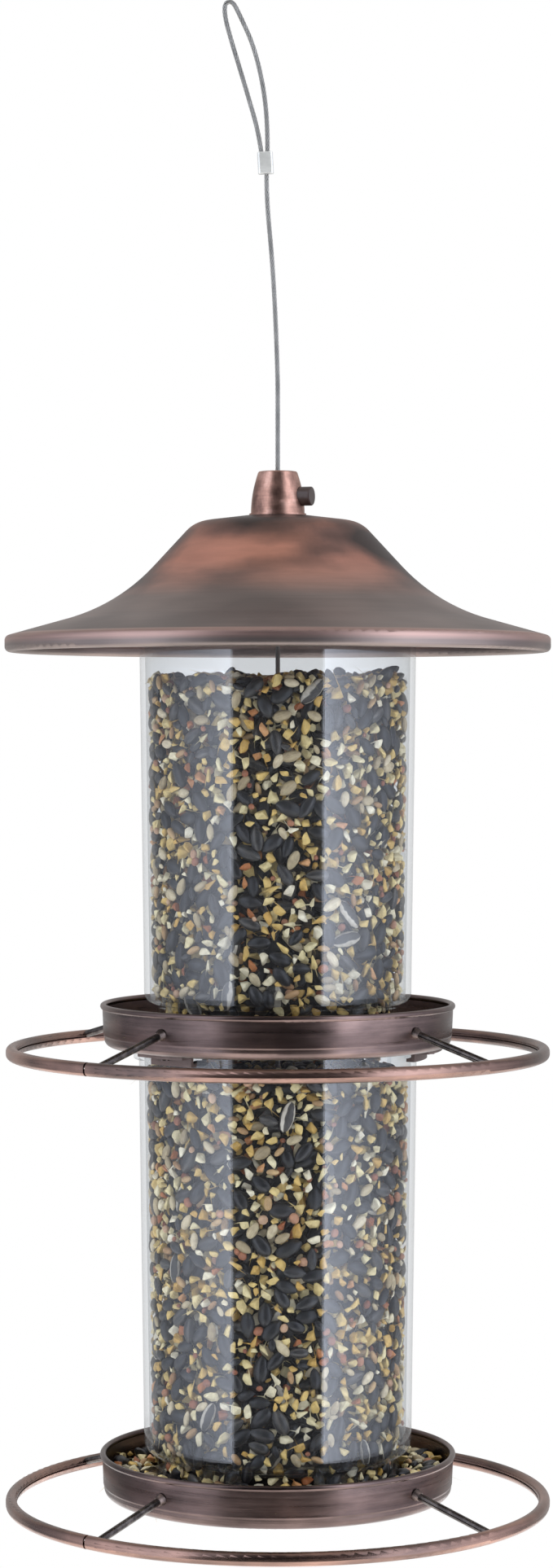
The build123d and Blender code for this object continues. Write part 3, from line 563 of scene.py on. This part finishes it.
class Packing:
    """Seeds thrown flat on a surface one at a time, each kept where it barely touches those before it."""

    CELL = 5.0

    def __init__(self, rng, wrap=None, squeeze=0.86):
        self.rng = rng
        self.wrap = wrap
        self.squeeze = squeeze
        self.cells = {}
        self.seeds = []

    def key(self, x, y):
        if self.wrap:
            x %= self.wrap
        return int(x // self.CELL), int(y // self.CELL)

    def near(self, x, y):
        i, j = self.key(x, y)
        last = int(self.wrap // self.CELL) if self.wrap else None
        for a in (i - 1, i, i + 1):
            if last is not None:
                a %= last + 1
            for b in (j - 1, j, j + 1):
                yield from self.cells.get((a, b), ())

    def discs(self, x, y, angle, size):
        radius = 0.5 * size[1]
        reach = max(0.0, 0.5 * size[0] - radius)
        steps = (-1, 0, 1) if reach > 0.5 else (0,)
        for step in steps:
            shrink = 0.88 if step else 1.0
            yield x + step * reach * math.cos(angle), y + step * reach * math.sin(angle), radius * shrink

    def fits(self, discs):
        for x, y, r in discs:
            for u, v, other in self.near(x, y):
                du = x - u
                if self.wrap:
                    du = (du + self.wrap / 2) % self.wrap - self.wrap / 2
                limit = self.squeeze * (r + other)
                if du * du + (y - v) ** 2 < limit * limit:
                    return False
        return True

    def throw(self, kind, size, place, tries):
        """Tries a few places for one seed; place() gives x and y, or None where none may lie."""
        for _ in range(tries):
            spot = place()
            if spot is None:
                continue
            angle = self.rng.uniform(0, 2 * math.pi)
            discs = list(self.discs(*spot, angle, size))
            if self.fits(discs):
                for x, y, r in discs:
                    wrapped = x % self.wrap if self.wrap else x
                    self.cells.setdefault(self.key(x, y), []).append((wrapped, y, r))
                self.seeds.append((kind, *spot, angle, size))
                return True
        return False


KINDS = seed_kinds()
DARK_KINDS = ("black_sunflower", "striped_sunflower")


def pick_kind(rng, x, y, seed):
    """A kind by its share, with dark and pale kinds gathered in patches."""
    dark = 1.0 + 1.5 * noise.noise(Vector((x / 11.0, y / 8.0, seed * 1.7)))
    weights = [kind["share"] * (max(0.12, dark) if name in DARK_KINDS else max(0.25, 2.0 - dark))
               for name, kind in KINDS.items()]
    return rng.choices(list(KINDS), weights)[0]


def fill_surface(rng, area, place, wrap=None, squeeze=0.86, crowd=1.0):
    """Throws the mix on a surface of this area in square mm, then fills the gaps with small bits."""
    packing = Packing(rng, wrap, squeeze)
    patch = rng.uniform(0, 50)
    for _ in range(int(crowd * area / 7.0)):
        spot = place()
        if spot is None:
            continue
        name = pick_kind(rng, *spot, patch)
        scale = rng.uniform(0.82, 1.12)
        size = tuple(side * scale * rng.uniform(0.92, 1.08) for side in KINDS[name]["size"])
        packing.throw(name, size, lambda: spot, 1)
    for _ in range(int(crowd * area / 5.0)):
        name = rng.choices(("cracked_corn", "milo", "black_sunflower", "seed_hearts"), (8, 0.3, 5, 1))[0]
        scale = rng.uniform(0.48, 0.82)
        size = tuple(side * scale for side in KINDS[name]["size"])
        packing.throw(name, size, place, 1)
    return packing.seeds


class SeedBin:
    """Collects placed seeds of each kind and makes one mesh of them."""

    def __init__(self):
        self.items = {name: [] for name in KINDS}

    def add(self, kind, centre, axes, size):
        """centre in mm; axes: rows for the seed's length, width and thickness."""
        self.items[kind].append((centre, axes, size))

    def batches(self):
        """The seeds of each kind, parted so that no mesh grows too heavy."""
        for name, items in self.items.items():
            for start in range(0, len(items), BATCH):
                tail = f"_{start // BATCH + 1}" if start else ""
                yield name, tail, items[start:start + BATCH]

    def build(self, prefix, body, node, rng):
        pieces = []
        for name, tail, items in self.batches():
            kind = KINDS[name]
            vertices, faces, tints, skins = [], [], [], []
            start = 0
            for centre, axes, size in items:
                shape, shape_faces, skin = rng.choice(kind["shapes"])
                points = (shape * np.array(size)) @ np.array(axes) + np.array(centre)
                vertices.append(points)
                faces += [tuple(start + v for v in face) for face in shape_faces]
                tints.append(np.full(len(points), rng.random()))
                skins.append(skin)
                start += len(points)
            mesh = mesh_from(f"{prefix}_{name}{tail}", np.concatenate(vertices) * MM, faces, kind["smooth"])
            tint = mesh.attributes.new("tint", "FLOAT", "POINT")
            tint.data.foreach_set("value", np.concatenate(tints).astype(np.float32))
            skin = np.concatenate(skins)
            loops = np.empty(len(mesh.loops), dtype=np.int32)
            mesh.loops.foreach_get("vertex_index", loops)
            layer = mesh.uv_layers.new(name="skin")
            layer.data.foreach_set("uv", skin[loops].astype(np.float32).ravel())
            mesh.materials.append(kind["material"])
            piece = new_piece(f"{prefix}_{name}{tail}", mesh, body)
            if node:
                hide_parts(node)
            pieces.append(piece)
        return pieces


def tangent_axes(angle_round, turn, tilt):
    """Axes of a seed lying on a wall whose outward normal is at this angle round the axis."""
    outward = Vector((math.cos(angle_round), math.sin(angle_round), 0))
    sideways = Vector((-math.sin(angle_round), math.cos(angle_round), 0))
    along = sideways * math.cos(turn) + UP * math.sin(turn)
    across = outward.cross(along)
    lean = Matrix.Rotation(tilt[0], 3, along) @ Matrix.Rotation(tilt[1], 3, across)
    return [tuple(lean @ along), tuple(lean @ across), tuple(lean @ outward)]


def flat_axes(turn, tilt):
    """Axes of a seed lying flat, leaning a little."""
    along = Vector((math.cos(turn), math.sin(turn), 0))
    across = UP.cross(along)
    lean = Matrix.Rotation(tilt[0], 3, along) @ Matrix.Rotation(tilt[1], 3, across)
    return [tuple(lean @ along), tuple(lean @ across), tuple(lean @ UP)]


def tube_fill(base, top_low, top_high, prefix, body, node, seed):
    """Seed behind a tube's wall in three layers, heaped at the top, round a core painted near black as painted shade.
    """
    rng = random.Random(seed)
    bin_ = SeedBin()
    lip = base + 26.4
    taper = (57.6 - 55.1) / 176.0

    def wall_radius(z):
        radius = 55.0 + taper * (z - lip)
        if z < lip + 3.4:
            radius -= 3.4 * (1 - math.sqrt(max(0.0, 1 - ((lip + 3.4 - z) / 3.4) ** 2)))
        return radius

    def top_at(x, y):
        wave = noise.noise(Vector((x / 26.0, y / 26.0, seed))) + 0.5 * noise.noise(Vector((x / 11.0, y / 11.0, seed)))
        return top_low + (top_high - top_low) * (0.5 + 0.8 * wave)

    for depth, spread, squeeze in ((0.25, 0.10, 0.80), (4.6, 0.55, 0.80), (9.0, 0.9, 0.86)):
        mid_radius = 56.0 - depth
        circumference = 2 * math.pi * mid_radius

        def place():
            x = rng.uniform(0, circumference)
            angle = x / mid_radius
            z = rng.uniform(lip + 1.5, top_high + 2.0)
            edge = wall_radius(z)
            if z > top_at(edge * math.cos(angle), edge * math.sin(angle)) - 1.0:
                return None
            return x, z

        area = circumference * (top_high - lip)
        for kind, x, z, turn, size in fill_surface(rng, area, place, circumference, squeeze, 1.25):
            angle = x / mid_radius
            radius = wall_radius(z) - depth - 0.5 * size[2] - 0.1
            bend = size[0] ** 2 / (8 * 56.0) * math.cos(turn) ** 2
            tilt = (rng.gauss(0, spread), rng.gauss(0, spread * 0.6))
            lean = 0.5 * size[1] * abs(math.sin(tilt[0])) + 0.5 * size[0] * abs(math.sin(tilt[1]))
            radius -= bend + (lean if depth < 1 else 0.5 * lean)
            centre = (radius * math.cos(angle), radius * math.sin(angle), z)
            bin_.add(kind, centre, tangent_axes(angle, turn, tilt), size)

    for layer in (0.0, -3.6):
        def on_top():
            radius = 55.0 * math.sqrt(rng.random())
            angle = rng.uniform(0, 2 * math.pi)
            if radius < 4.5:
                return None
            return radius * math.cos(angle), radius * math.sin(angle)

        for kind, x, y, turn, size in fill_surface(rng, math.pi * 55.0**2, on_top, None, 0.78, 1.3):
            reach = math.hypot(x, y) + 0.5 * size[0]
            if reach > 56.0:
                x *= (56.0 - 0.5 * size[0]) / math.hypot(x, y)
                y *= (56.0 - 0.5 * size[0]) / math.hypot(x, y) if abs(y) > 1e-6 else 1.0
            tilt = (rng.gauss(0, 0.3), rng.gauss(0, 0.3))
            bin_.add(kind, (x, y, top_at(x, y) + layer), flat_axes(turn, tilt), size)

    collar = 49.2
    circumference = 2 * math.pi * collar

    def in_collar():
        return rng.uniform(0, circumference), rng.uniform(base + 13.6, base + 25.5)

    for kind, x, z, turn, size in fill_surface(rng, circumference * 12.0, in_collar, circumference, 0.8, 1.2):
        angle = x / collar
        radius = collar - 0.5 * size[2] - size[0] ** 2 / (8 * collar) - 0.3
        tilt = (rng.gauss(0, 0.1), rng.gauss(0, 0.1))
        if z - 0.5 * size[0] * abs(math.sin(turn)) < base + 13.7:
            turn *= 0.1
            z = max(z, base + 13.7 + 0.5 * size[1])
        centre = (radius * math.cos(angle), radius * math.sin(angle), z)
        bin_.add(kind, centre, tangent_axes(angle, turn, tilt), size)
    pieces = bin_.build(prefix, body, node, rng)
    pieces.append(build_core(base, top_low, prefix, body, node, seed))
    return pieces


def build_core(base, top, prefix, body, node, seed):
    """The inside of the fill, an uneven column behind the seeds, near black as painted shade of the packed seed."""
    sides, rows = 96, 60
    bottom = base + 14.0
    vertices, faces = [], []
    for i in range(rows + 1):
        z = bottom + (top - 5.0 - bottom) * i / rows
        limit = 40.0 if z < base + 30.0 else 43.0
        for j in range(sides):
            angle = 2 * math.pi * j / sides
            place = Vector((math.cos(angle) * 9, math.sin(angle) * 9, z / 5.0))
            radius = limit + 2.4 * noise.noise(place + Vector((seed, 0, 0)))
            vertices.append((radius * math.cos(angle) * MM, radius * math.sin(angle) * MM, z * MM))
    for i in range(rows):
        for j in range(sides):
            k = (j + 1) % sides
            faces.append((i * sides + j, i * sides + k, (i + 1) * sides + k, (i + 1) * sides + j))
    hub = 2.0
    inner = []
    for i in (0, rows):
        inner.append(len(vertices))
        z = bottom + (top - 5.0 - bottom) * i / rows
        for j in range(sides):
            angle = 2 * math.pi * j / sides
            vertices.append((hub * math.cos(angle) * MM, hub * math.sin(angle) * MM, z * MM))
    for j in range(sides):
        k = (j + 1) % sides
        faces.append((j, inner[0] + j, inner[0] + k, k))
        last = rows * sides
        faces.append((last + j, last + k, inner[1] + k, inner[1] + j))
        faces.append((inner[0] + j, inner[1] + j, inner[1] + k, inner[0] + k))
    mesh = mesh_from(f"{prefix}_core", vertices, faces)
    mesh.materials.append(CORE_SHADE_MATERIAL)
    piece = new_piece(f"{prefix}_core", mesh, body)
    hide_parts(node)
    return piece


def shaded_core_material():
    s = Shader("seed_core_painted_shade")
    # Painted shade: near-black cells, a little lighter brown in their middles, stand for the shaded seed deep in the
    # fill.
    cells = s.node("TexVoronoi", {"Vector": s.object_place(), "Scale": 190.0}).outputs["Distance"]
    tone = s.ramp(cells, [(0.1, (0.10, 0.075, 0.05)), (0.6, (0.012, 0.01, 0.009))])
    return principled(s, tone, 0.8, s.bump(cells, 0.6, 0.002))


CORE_SHADE_MATERIAL = shaded_core_material()


def tray_fill(prefix, base, layers, body, node, seed):
    """Seed lying in a tray round its tube; layers: height in the tray, inner and outer radius."""
    rng = random.Random(seed)
    bin_ = SeedBin()

    def trough(low, high):
        radius = math.sqrt(rng.uniform(low**2, high**2))
        angle = rng.uniform(0, 2 * math.pi)
        return radius * math.cos(angle), radius * math.sin(angle)

    for level, low, high in layers:
        area = math.pi * (high**2 - low**2)
        for kind, x, y, turn, size in fill_surface(rng, area, lambda: trough(low, high), None, 0.8, 1.3):
            radius = math.hypot(x, y)
            away = 1.0 - min(1.0, abs(turn % math.pi - (math.atan2(y, x) + math.pi / 2) % math.pi))
            reach = 0.5 * size[0] * (1 - 0.4 * away)
            if radius + reach > 73.6:
                shift = (73.6 - reach) / radius
                x, y = x * shift, y * shift
            heap = 1.2 * noise.noise(Vector((x / 14.0, y / 14.0, 3.0)))
            tilt = (rng.gauss(0, 0.28), rng.gauss(0, 0.22))
            bin_.add(kind, (x, y, base + level + heap), flat_axes(turn, tilt), size)
    return bin_.build(prefix, body, node, rng)


def build_seed():
    tube_fill(0.0, 185.0, 190.0, "lower_fill", "base", "lower_tube_seed", SEED + 1)
    tube_fill(192.8, 352.5, 358.5, "upper_fill", "upper_tier", "upper_tube_seed", SEED + 2)
    full = ((10.4, 64.0, 71.5), (13.6, 59.0, 71.5), (16.4, 55.0, 71.0))
    tray_fill("tray_seed", 0.0, full, "base", "lower_tray_seed", SEED + 7)
    scattered = ((10.4, 64.0, 71.5), (13.0, 58.5, 67.0))
    tray_fill("upper_tray_seed", 192.8, scattered, "upper_tier", None, SEED + 8)


# ---------------------------------------------------------------- stage

def softbox(side):
    """A glowing panel beside the object, brightest at its front edge, seen only in reflections."""
    width, height = 1.9, 3.2
    corners = [(-width / 2, -height / 2, 0), (width / 2, -height / 2, 0), (width / 2, height / 2, 0), (-width / 2, height / 2, 0)]
    panel = bpy.data.objects.new(f"softbox_{side}", mesh_from(f"softbox_{side}", corners, [(0, 1, 2, 3)], False))
    bpy.context.scene.collection.objects.link(panel)
    s = Shader(f"softbox_{side}")
    across = s.node("SeparateXYZ", {0: s.object_place()}).outputs[0]
    forward = s.node("MapRange", {"Value": across, "From Min": -width / 2 * side, "From Max": width / 2 * side}).outputs[0]
    share = s.math("POWER", forward, SOFTBOX_FALL)
    strength = s.math("ADD", s.math("MULTIPLY", share, SOFTBOX_FRONT[side] - SOFTBOX_REAR), SOFTBOX_REAR)
    glow = s.node("Emission", {"Color": (0.80, 0.86, 1.0, 1.0), "Strength": strength}).outputs[0]
    panel.data.materials.append(s.finish(glow))
    place = around(side * 82, 1.0, 0.35)
    panel.location = place
    panel.rotation_euler = (Vector((0, 0, 0.35)) - Vector(place)).to_track_quat("Z", "Y").to_euler()
    panel.visible_camera = False
    panel.visible_transmission = False
    panel.visible_shadow = False
    panel.visible_diffuse = False


def dark_front():
    """A black flag behind the camera, seen only in reflections: it keeps the tubes clear down their middle."""
    wide, low, high = 0.83, -1.3, 2.2
    corners = [(-wide, -1.1, low), (wide, -1.1, low), (wide, -1.1, high), (-wide, -1.1, high)]
    panel = bpy.data.objects.new("dark_front", mesh_from("dark_front", corners, [(0, 1, 2, 3)], False))
    bpy.context.scene.collection.objects.link(panel)
    s = Shader("dark_front")
    panel.data.materials.append(s.finish(s.node("Emission", {"Color": (0.03, 0.03, 0.035, 1.0)}).outputs[0]))
    panel.visible_camera = False
    panel.visible_transmission = False
    panel.visible_shadow = False
    panel.visible_diffuse = False


def area_light(name, size, place, target, colour, power):
    light = bpy.data.lights.new(name, "AREA")
    light.shape = "RECTANGLE"
    light.size, light.size_y = size
    light.color = colour
    light.energy = power
    holder = bpy.data.objects.new(name, light)
    holder.location = place
    holder.rotation_euler = (Vector(target) - Vector(place)).to_track_quat("-Z", "Y").to_euler()
    holder.visible_glossy = False
    bpy.context.scene.collection.objects.link(holder)


def around(angle, distance, height):
    """A place this many degrees round from the front, positive towards +X."""
    turn = math.radians(angle)
    return (distance * math.sin(turn), -distance * math.cos(turn), height)


def build_stage():
    scene = bpy.context.scene
    scene.view_settings.view_transform = "Standard"
    world = bpy.data.worlds.new("studio")
    world.use_nodes = True
    tree = world.node_tree
    background = tree.nodes["Background"]
    background.inputs["Color"].default_value = (1.0, 1.0, 1.0, 1.0)
    path = tree.nodes.new("ShaderNodeLightPath")
    level = tree.nodes.new("ShaderNodeMapRange")
    level.inputs["To Min"].default_value = 1.0
    level.inputs["To Max"].default_value = 0.55
    tree.links.new(path.outputs["Is Glossy Ray"], level.inputs["Value"])
    tree.links.new(level.outputs["Result"], background.inputs["Strength"])
    scene.world = world

    rim = [(1.6 * math.cos(i * math.pi / 48), 1.6 * math.sin(i * math.pi / 48), 0.0) for i in range(96)]
    floor = bpy.data.objects.new("floor", mesh_from("floor", rim, [tuple(range(96))], False))
    floor.location = (0, 0, -0.5)
    scene.collection.objects.link(floor)
    s = Shader("floor")
    pale = s.node("BsdfDiffuse", {"Color": (0.97, 0.97, 0.97, 1.0)}).outputs[0]
    lift = s.node("Emission", {"Color": (1.0, 1.0, 1.0, 1.0), "Strength": 0.35}).outputs[0]
    floor.data.materials.append(s.finish(s.node("AddShader", {0: pale, 1: lift}).outputs[0]))

    middle = (0, 0, 0.3)
    dark_front()
    for side in (-1, 1):
        softbox(side)
        area_light(f"key_{side}", (1.2, 1.6), around(side * 62, 1.6, 0.55), middle, (0.96, 0.98, 1.0), 20.0)
    area_light("top", (1.2, 1.2), (0, -0.5, 1.9), middle, (1.0, 0.99, 0.97), 10.0)


def build_camera():
    camera = bpy.data.cameras.new("camera")
    camera.sensor_width = 36.0
    camera.sensor_fit = "AUTO"
    camera.lens = 81.96
    camera.shift_x = -0.0008
    camera.shift_y = -0.0338
    holder = bpy.data.objects.new("camera", camera)
    holder.location = (0.0, -1.540, 0.3337)
    holder.rotation_euler = (math.pi / 2, 0.0, 0.0)
    bpy.context.scene.collection.objects.link(holder)
    bpy.context.scene.camera = holder


dress_cad_nodes()
build_cable()
build_spring()
build_seed()
build_stage()
build_camera()
